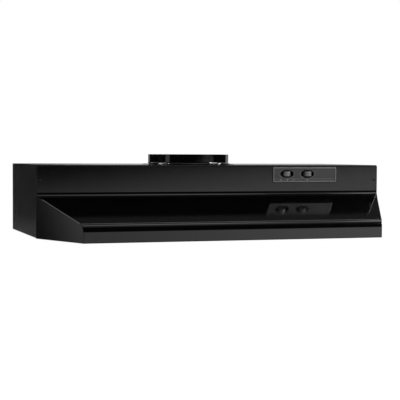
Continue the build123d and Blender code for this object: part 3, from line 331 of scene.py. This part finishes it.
finishes[frosted_glass()] = ["lamp_bulb"]
finishes[ribbed_clear()] = ["lamp_lens"]
for finish, names in finishes.items():
    for name in names:
        mesh = nodes[name].data
        mesh.materials.clear()
        mesh.materials.append(finish)


# Printed marks on the control panel

def printed_on_panel(name, mesh):
    """Stand a mark, drawn flat in (x, y) metres, upright on the panel's field and let it ride with the hood."""
    mesh.transform(Matrix.Translation((0.0, PANEL_FIELD_Y * MM, 0.0)) @ Matrix.Rotation(math.pi / 2, 4, "X"))
    mesh.materials.clear()
    mesh.materials.append(label_ink)
    mark = bpy.data.objects.new(name, mesh)
    scene.collection.objects.link(mark)
    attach(mark, "hood")


def printed_figure(name, figure, x, height):
    """A plain figure of the given height in millimetres, centred under a switch position."""
    curve = bpy.data.curves.new(name, "FONT")
    curve.body = figure
    curve.size = height / 0.7 * MM
    curve.align_x = "CENTER"
    curve.align_y = "CENTER"
    curve.extrude = INK * MM
    curve.resolution_u = 4
    text = bpy.data.objects.new(name + "_line", curve)
    mesh = bpy.data.meshes.new_from_object(text)
    bpy.data.objects.remove(text)
    mesh.transform(Matrix.Translation((x * MM, LABEL_Z * MM, 0.0)))
    printed_on_panel(name, mesh)


def printed_lamp(name, x, radius):
    """A ring with eight rays, each a flat strip between two radii and two angles.

    A strip is a grid of turns by the four corners of its section, and a ray is closed at both ends.
    """
    strips = [(0.0, 2 * math.pi, 0.55, 0.75, 33)]
    strips += [(math.pi / 4 * k - 0.13, math.pi / 4 * k + 0.13, 1.0, 1.45, 3) for k in range(8)]
    points, faces = [], []
    for start, end, inner, outer, count in strips:
        turn = np.linspace(start, end, count)[:, None]
        reach = np.array([inner, outer, outer, inner])[None, :] * radius * MM
        lift = np.array([-INK, -INK, INK, INK])[None, :] * MM
        ring = np.stack([reach * np.cos(turn), reach * np.sin(turn), lift + 0 * turn], axis=-1)
        base = sum(len(p) for p in points)
        points.append(ring.reshape(-1, 3))
        row = np.arange(count - 1)[:, None] * 4
        side = np.arange(4)[None, :]
        quads = np.stack([row + 4 + side, row + 4 + (side + 1) % 4, row + (side + 1) % 4, row + side], axis=-1)
        faces.append(base + quads.reshape(-1, 4))
        if end - start < math.pi:
            last = base + (count - 1) * 4
            faces.append(np.array([[base, base + 1, base + 2, base + 3], [last + 3, last + 2, last + 1, last]]))
    mesh = bpy.data.meshes.new(name)
    mesh.from_pydata(np.concatenate(points), [], np.concatenate(faces).tolist())
    mesh.transform(Matrix.Translation((x * MM, LABEL_Z * MM, 0.0)))
    printed_on_panel(name, mesh)


printed_figure("fan_mark_fast", "2", FAN_SWITCH_X - 14.5, FIGURE_HEIGHT)
printed_figure("fan_mark_off", "0", FAN_SWITCH_X + 0.6, FIGURE_HEIGHT)
printed_figure("fan_mark_slow", "1", FAN_SWITCH_X + 14.8, FIGURE_HEIGHT)
printed_lamp("light_mark", LIGHT_SWITCH_X, LAMP_MARK_RADIUS)


# Pieces with more detail than the solids

def weld(mesh):
    """Join the points of a mesh that lie in one place, so a ring that closes to a point leaves no empty faces."""
    shape = bmesh.new()
    shape.from_mesh(mesh)
    bmesh.ops.remove_doubles(shape, verts=shape.verts, dist=1e-7)
    shape.to_mesh(mesh)
    shape.free()


def stand_in(name, points, faces, finish, body, slot, node=None, closed=True):
    """Make a mesh from arrays of points and four-cornered faces, on a body and, if named, in place of a solid.

    Rings that close to a point are welded there, unless the pieces of the mesh only touch and have to stay apart.
    """
    mesh = bpy.data.meshes.new(name)
    mesh.from_pydata(points.reshape(-1, 3) * MM, [], faces.reshape(-1, 4).tolist())
    if closed:
        weld(mesh)
    mesh.materials.append(finish)
    piece = bpy.data.objects.new(name, mesh)
    scene.collection.objects.link(piece)
    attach(piece, body)
    if node:
        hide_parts(node)


def expanded_metal(x_half, y_ends, z_levels, period, pitch, width, thick):
    """Layers of expanded metal.

    Strand j of a layer runs along X at y = start + j p / 2 and swings p / 4 to either side as a zigzag, the
    next strand the other way about, so that neighbours meet at the bonds. The section is a flat rectangle.
    Each layer is set a quarter of the period along from the one below.
    """
    layer = np.arange(len(z_levels))[:, None, None, None]
    strand = np.arange(int((y_ends[1] - y_ends[0] - pitch / 2 - width) / (pitch / 2)) + 1)[None, :, None, None]
    step = np.arange(int((2 * x_half - period) / (period / 2)) + 1)[None, None, :, None]
    across = np.array([-1, 1, 1, -1]) * width / 2
    rise = np.array([-1, -1, 1, 1]) * thick / 2
    x = -x_half + period / 4 * layer + period / 2 * step + 0 * strand + 0 * across
    swing = pitch / 4 * (-1.0) ** (strand + step)
    y = y_ends[0] + pitch / 4 + width / 2 + pitch / 2 * strand + swing + 0 * layer + across
    z = np.array(z_levels)[:, None, None, None] + 0 * (strand + step) + rise
    points = np.stack(np.broadcast_arrays(x, y, z), axis=-1)
    index = np.arange(points.size // 3).reshape(points.shape[:-1])
    near, far = index[:, :, :-1], index[:, :, 1:]
    sides = np.stack([near, np.roll(near, -1, -1), np.roll(far, -1, -1), far], axis=-1)
    caps = np.concatenate([index[:, :, 0, ::-1].reshape(-1, 4), index[:, :, -1].reshape(-1, 4)])
    return points, np.concatenate([sides.reshape(-1, 4), caps])


def stacked_rings(one, places):
    """Copies of one pile of closed rings, given as rows of points, at each place, joined ring to ring by faces."""
    points = np.array(places)[:, None, None, :] + one[None]
    index = np.arange(points.size // 3).reshape(points.shape[:-1])
    low, high = index[:, :-1], index[:, 1:]
    faces = np.stack([low, np.roll(low, -1, -1), np.roll(high, -1, -1), high], axis=-1)
    return points, faces


def cross_screws(places, head_radius, head, shank_radius, shank, bar, reach, depth):
    """Pan-headed screws standing along Z.

    Each is a surface of revolution through a row of radii and heights: shank, underside of the head, skirt and
    a crown z = h (1 - 0.25 (r / R) ** 2). Where the crown lies inside a cross of two bars it is pressed down.
    """
    crown = np.linspace(1.0, 0.0, 26)[:, None]
    radius = np.concatenate([[[0.0], [shank_radius], [shank_radius], [head_radius]], crown * head_radius])
    level = np.concatenate([[[-shank], [-shank], [0.0], [0.0]], head * (1 - 0.25 * crown ** 2)])
    turn = np.linspace(0, 2 * math.pi, 96, endpoint=False)[None, :]
    x, y = radius * np.cos(turn), radius * np.sin(turn)
    pressed = (np.minimum(abs(x), abs(y)) < bar / 2) & (radius < reach) & (level > head / 2)
    one = np.stack([x, y, level - depth * pressed], axis=-1)
    return stacked_rings(one, places)


def rolled_ends(places, radius, low, high):
    """Round beads along Z, one at each place: circles whose radius closes as a quarter circle at both ends."""
    lean = np.linspace(-math.pi / 2, math.pi / 2, 16)[:, None]
    girth = radius * np.cos(lean)
    level = np.where(lean < 0, low + radius, high - radius) + radius * np.sin(lean)
    turn = np.linspace(0, 2 * math.pi, 48, endpoint=False)[None, :]
    one = np.stack([girth * np.cos(turn), girth * np.sin(turn), level + 0.0 * turn], axis=-1)
    return stacked_rings(one, places)


face_ends = [(side * FACE_END[0], FACE_END[1], 0.0) for side in (1, -1)]
beads = rolled_ends(face_ends, FACE_END_RADIUS, *FACE_END_Z)
stand_in("face_end_beads", *beads, black_enamel, "hood", "gloss_black_paint")

layers = expanded_metal(
    FILTER_HALF_WIDTH, FILTER_Y, FILTER_LAYERS_Z, period=11.0, pitch=5.0, width=0.8, thick=0.45
)
stand_in("expanded_filter_layers", *layers, filter_metal, "filter", "filter_aluminium", "filter_mesh", closed=False)

screw_turns = [math.radians(45 + 90 * k) for k in range(4)]
screw_places = [
    (COLLAR_SCREW_CIRCLE * math.cos(t), COLLAR_Y + COLLAR_SCREW_CIRCLE * math.sin(t), COLLAR_SCREW_Z)
    for t in screw_turns
]
screws = cross_screws(
    screw_places, head_radius=3.6, head=2.0, shank_radius=1.9, shank=5.7, bar=0.9, reach=2.3, depth=0.9
)
stand_in("collar_cross_screws", *screws, zinc_plate, "hood", "zinc_steel", "collar_screws")


# Studio

def card(name, corners, level, end_level=None, along=(0.0, 0.0, 1.0), ends=(0.0, 1.0)):
    """A flat card through four corners that only mirror-like reflections see, glowing at one level.

    With an end level the glow eases from the first level to that one, over the part of the given direction
    that lies between the two ends.
    """
    mesh = bpy.data.meshes.new(name)
    mesh.from_pydata([Vector(c) for c in corners], [], [(0, 1, 2, 3)])
    obj = bpy.data.objects.new(name, mesh)
    scene.collection.objects.link(obj)
    made = bpy.data.materials.new(name)
    made.use_nodes = True
    tree = made.node_tree
    tree.nodes.clear()
    out = tree.nodes.new("ShaderNodeOutputMaterial")
    glow = tree.nodes.new("ShaderNodeEmission")
    glow.inputs["Strength"].default_value = level
    tree.links.new(glow.outputs[0], out.inputs["Surface"])
    if end_level is not None:
        place = tree.nodes.new("ShaderNodeTexCoord")
        reach = tree.nodes.new("ShaderNodeVectorMath")
        reach.operation = "DOT_PRODUCT"
        reach.inputs[1].default_value = along
        tree.links.new(place.outputs["Object"], reach.inputs[0])
        ease = tree.nodes.new("ShaderNodeMapRange")
        ease.interpolation_type = "SMOOTHSTEP"
        ease.inputs["From Min"].default_value, ease.inputs["From Max"].default_value = ends
        ease.inputs["To Min"].default_value, ease.inputs["To Max"].default_value = level, end_level
        tree.links.new(reach.outputs["Value"], ease.inputs["Value"])
        tree.links.new(ease.outputs["Result"], glow.inputs["Strength"])
    mesh.materials.append(made)
    obj.visible_camera = False
    obj.visible_diffuse = False
    obj.visible_shadow = False
    obj.visible_transmission = False


def wall_card(name, start, end, low, high, level, *fade):
    """An upright card between two plan points."""
    card(name, [(*start, low), (*end, low), (*end, high), (*start, high)], level, *fade)


def level_card(name, x, y, z, level, *fade):
    """A level card between two places in X and in Y."""
    card(name, [(x[0], y[0], z), (x[1], y[0], z), (x[1], y[1], z), (x[0], y[1], z)], level, *fade)


DARK = 0.012  # level of a black cloth
ALONG_X = (1.0, 0.0, 0.0)
ALONG_Z = (0.0, 0.0, 1.0)
TOWARDS_FRONT = (0.0, -1.0, 0.0)
STRIP_Y = (-0.5, -0.14)
STRIP_Z = 1.25

# In front: the face fades towards its top and the lip brightens to the right
wall_card("front_flag", (-2.4, -1.5), (2.6, -1.5), -0.4, 1.3, 1.0, DARK, (-0.1236, 0.0, 1.0), (-0.215, 0.0))
wall_card("front_low_card", (-2.4, -1.49), (2.6, -1.49), -0.4, -0.16, 0.7, 1.3, ALONG_X, (-0.2, 1.1))
wall_card("front_top_flag", (-2.4, -1.48), (2.6, -1.48), -0.0115, 1.29, DARK)
wall_card("collar_glow_card", (0.7, -1.47), (1.2, -1.47), 0.003, 0.0136, 0.5)

# To the left: what the collar, the left corner, the wing and the side panel mirror
wall_card("left_front_flag", (-2.4, -1.5), (-2.4, -0.78), -0.7, 1.3, DARK)
wall_card("left_low_flag", (-2.4, -0.78), (-2.4, -0.2), -0.7, -0.04, DARK)
wall_card("left_corner_flag", (-2.4, -0.2), (-1.62, 0.3), -0.7, -0.03, DARK)
wall_card("left_stripe", (-2.4, -0.78), (-2.4, -0.2), -0.04, 0.06, 0.8)
wall_card("left_high_flag", (-2.4, -0.78), (-2.4, -0.2), 0.06, 1.3, 0.2)
wall_card("left_flag", (-2.4, -0.2), (-1.62, 0.62), -0.03, 0.6, DARK)
wall_card("wing_flag", (-1.62, 0.3), (-1.62, 0.9), -0.7, -0.03, 0.65, 0.05, (0.0, 1.0, -0.35), (0.48, 0.75))
wall_card("left_rear_flag", (-1.62, 0.62), (-1.25, 1.7), -0.03, 0.3, DARK)
wall_card("left_rear_low_flag", (-1.62, 0.9), (-1.25, 1.7), -0.7, -0.03, DARK)
wall_card("rear_left_flag", (-1.25, 1.7), (-0.58, 2.2), -0.7, -0.03, 0.08, 0.028, ALONG_Z, (-0.29, -0.21))
wall_card("rear_left_high_flag", (-1.25, 1.7), (-0.62, 2.17), -0.03, 0.3, DARK)

# Behind: what the top panel and the right side panel mirror
wall_card("rear_edge_card", (-0.62, 2.5), (-0.1, 2.5), -0.15, 0.2, 0.45)
wall_card("rear_low_card", (-0.1, 2.5), (3.6, 2.5), -0.15, 0.2, 0.08, 0.42, ALONG_X, (0.05, 0.45))
wall_card("rear_left_top_flag", (-1.0, 2.45), (0.08, 2.55), 0.2, 0.62, 0.04)
wall_card("rear_right_low_flag", (0.3, 2.45), (2.6, 2.3), -1.2, -0.16, 0.07)
wall_card("rear_flag", (-0.9, 2.6), (2.6, 2.6), 0.6, 1.3, 0.07)

# To the right: a dark side, and the lights whose glints show in the canopy
wall_card("right_flag", (1.9, -1.2), (2.1, 1.15), -0.7, 0.6, DARK)
wall_card("right_edge_light", (1.95, -0.3), (1.95, 0.3), 0.85, 1.28, 4.0)
wall_card("right_front_light", (1.75, -1.2), (1.95, -0.4), 0.8, 1.28, 24.0)
wall_card("right_corner_light", (1.54, -1.4), (1.75, -1.2), 0.7, 1.295, 72.0)

# Overhead: the bright lines along the bend and the lip, and the bright spots at the foot of the collar
level_card("front_ceiling_flag", (-2.4, 2.6), (-1.5, 0.3), 1.3, DARK)
level_card("rear_ceiling_flag", (-2.4, 2.4), (0.62, 2.6), 1.3, 0.05)
level_card("overhead_left_strip", (-1.4, 0.25), STRIP_Y, STRIP_Z, 0.8, 1.5, ALONG_X, (-0.2, 0.2))
level_card("overhead_middle_strip", (0.25, 0.8), STRIP_Y, STRIP_Z, 1.5, 0.8, ALONG_X, (0.45, 0.8))
level_card("overhead_right_strip", (0.8, 1.8), STRIP_Y, STRIP_Z, 0.8, 4.6, ALONG_X, (0.82, 1.15))
level_card("overhead_front_strip", (-1.4, 1.8), (-1.45, STRIP_Y[0]), STRIP_Z, 0.48, DARK, TOWARDS_FRONT, (0.5, 1.4))
level_card("right_foot_light", (1.26, 1.5), (0.5, 0.8), 1.2, 26.0)
level_card("left_foot_light", (-0.7, -0.45), (0.85, 1.15), 1.2, 18.0)
level_card("left_edge_light", (-1.75, -1.0), (0.2, 0.9), 1.22, 4.0)

# Below: what the underside of the front mirrors
level_card("low_front_flag", (-3.0, 3.0), (-3.0, -0.25), -1.1, 0.03)

# A white room: full strength where it is seen or mirrored, less as a light
world = bpy.data.worlds.new("studio")
scene.world = world
world.use_nodes = True
tree = world.node_tree
tree.nodes.clear()
world_out = tree.nodes.new("ShaderNodeOutputWorld")
backdrop = tree.nodes.new("ShaderNodeBackground")
backdrop.inputs["Color"].default_value = (1.0, 1.0, 1.0, 1.0)
backdrop.inputs["Strength"].default_value = 1.0
room = tree.nodes.new("ShaderNodeBackground")
room.inputs["Color"].default_value = (1.0, 1.0, 1.0, 1.0)
room.inputs["Strength"].default_value = 0.7
rays = tree.nodes.new("ShaderNodeLightPath")
either = tree.nodes.new("ShaderNodeMath")
either.operation = "MAXIMUM"
tree.links.new(rays.outputs["Is Camera Ray"], either.inputs[0])
tree.links.new(rays.outputs["Is Glossy Ray"], either.inputs[1])
seen = tree.nodes.new("ShaderNodeMath")
seen.operation = "MAXIMUM"
tree.links.new(either.outputs[0], seen.inputs[0])
tree.links.new(rays.outputs["Is Transmission Ray"], seen.inputs[1])
mix = tree.nodes.new("ShaderNodeMixShader")
tree.links.new(seen.outputs[0], mix.inputs["Fac"])
tree.links.new(room.outputs[0], mix.inputs[1])
tree.links.new(backdrop.outputs[0], mix.inputs[2])
tree.links.new(mix.outputs[0], world_out.inputs["Surface"])


def softbox(name, place, target, size, power):
    """A rectangular lamp that faces its target."""
    lamp = bpy.data.lights.new(name, "AREA")
    lamp.shape = "RECTANGLE"
    lamp.size, lamp.size_y = size
    lamp.energy = power
    obj = bpy.data.objects.new(name, lamp)
    obj.location = place
    obj.rotation_euler = (Vector(target) - Vector(place)).to_track_quat("-Z", "Y").to_euler()
    obj.visible_glossy = False
    scene.collection.objects.link(obj)


softbox("overhead_light", (0.0, 0.2, 1.25), (0.0, -0.1, -0.1), (2.2, 0.5), 9.0)
softbox("front_fill", (1.4, -2.4, -0.5), (0.0, 0.0, -0.1), (1.2, 0.9), 10.0)
softbox("under_fill", (0.0, -0.3, -1.4), (0.0, 0.0, -0.1), (1.6, 1.2), 14.0)

# White floor, far below, lifted to white for the camera
floor_mesh = bpy.data.meshes.new("floor")
half_floor, floor_z = 16.0, -3.4
floor_mesh.from_pydata(
    [(-half_floor, -half_floor, floor_z), (half_floor, -half_floor, floor_z),
     (half_floor, half_floor, floor_z), (-half_floor, half_floor, floor_z)], [], [(0, 1, 2, 3)])
floor = bpy.data.objects.new("floor", floor_mesh)
scene.collection.objects.link(floor)
floor_paint, tree, shader = material("floor_paint", roughness=0.7, colour=(0.8, 0.8, 0.8))
rays = tree.nodes.new("ShaderNodeLightPath")
lift = tree.nodes.new("ShaderNodeMath")
lift.operation = "MULTIPLY"
lift.inputs[1].default_value = 0.5
tree.links.new(rays.outputs["Is Camera Ray"], lift.inputs[0])
shader.inputs["Emission Color"].default_value = (1.0, 1.0, 1.0, 1.0)
tree.links.new(lift.outputs[0], shader.inputs["Emission Strength"])
floor_mesh.materials.append(floor_paint)


# Camera, from a perspective fit to the hood's corners
camera_data = bpy.data.cameras.new("photo_view")
camera_data.sensor_width = 36.0
camera_data.lens = 102.77
camera_data.clip_end = 60.0
camera = bpy.data.objects.new("photo_view", camera_data)
scene.collection.objects.link(camera)
camera_place = (-0.79548, -2.43114, 0.02562)
yaw, pitch, roll = 0.3222, 0.0413, 0.0045
ahead = Vector((math.sin(yaw) * math.cos(pitch), math.cos(yaw) * math.cos(pitch), -math.sin(pitch)))
right = Vector((math.cos(yaw), -math.sin(yaw), 0.0))
up = right.cross(ahead)
right, up = right * math.cos(roll) + up * math.sin(roll), up * math.cos(roll) - right * math.sin(roll)
turn = Matrix((right, up, -ahead)).transposed().to_4x4()
camera.matrix_world = Matrix.Translation(camera_place) @ turn
scene.camera = camera
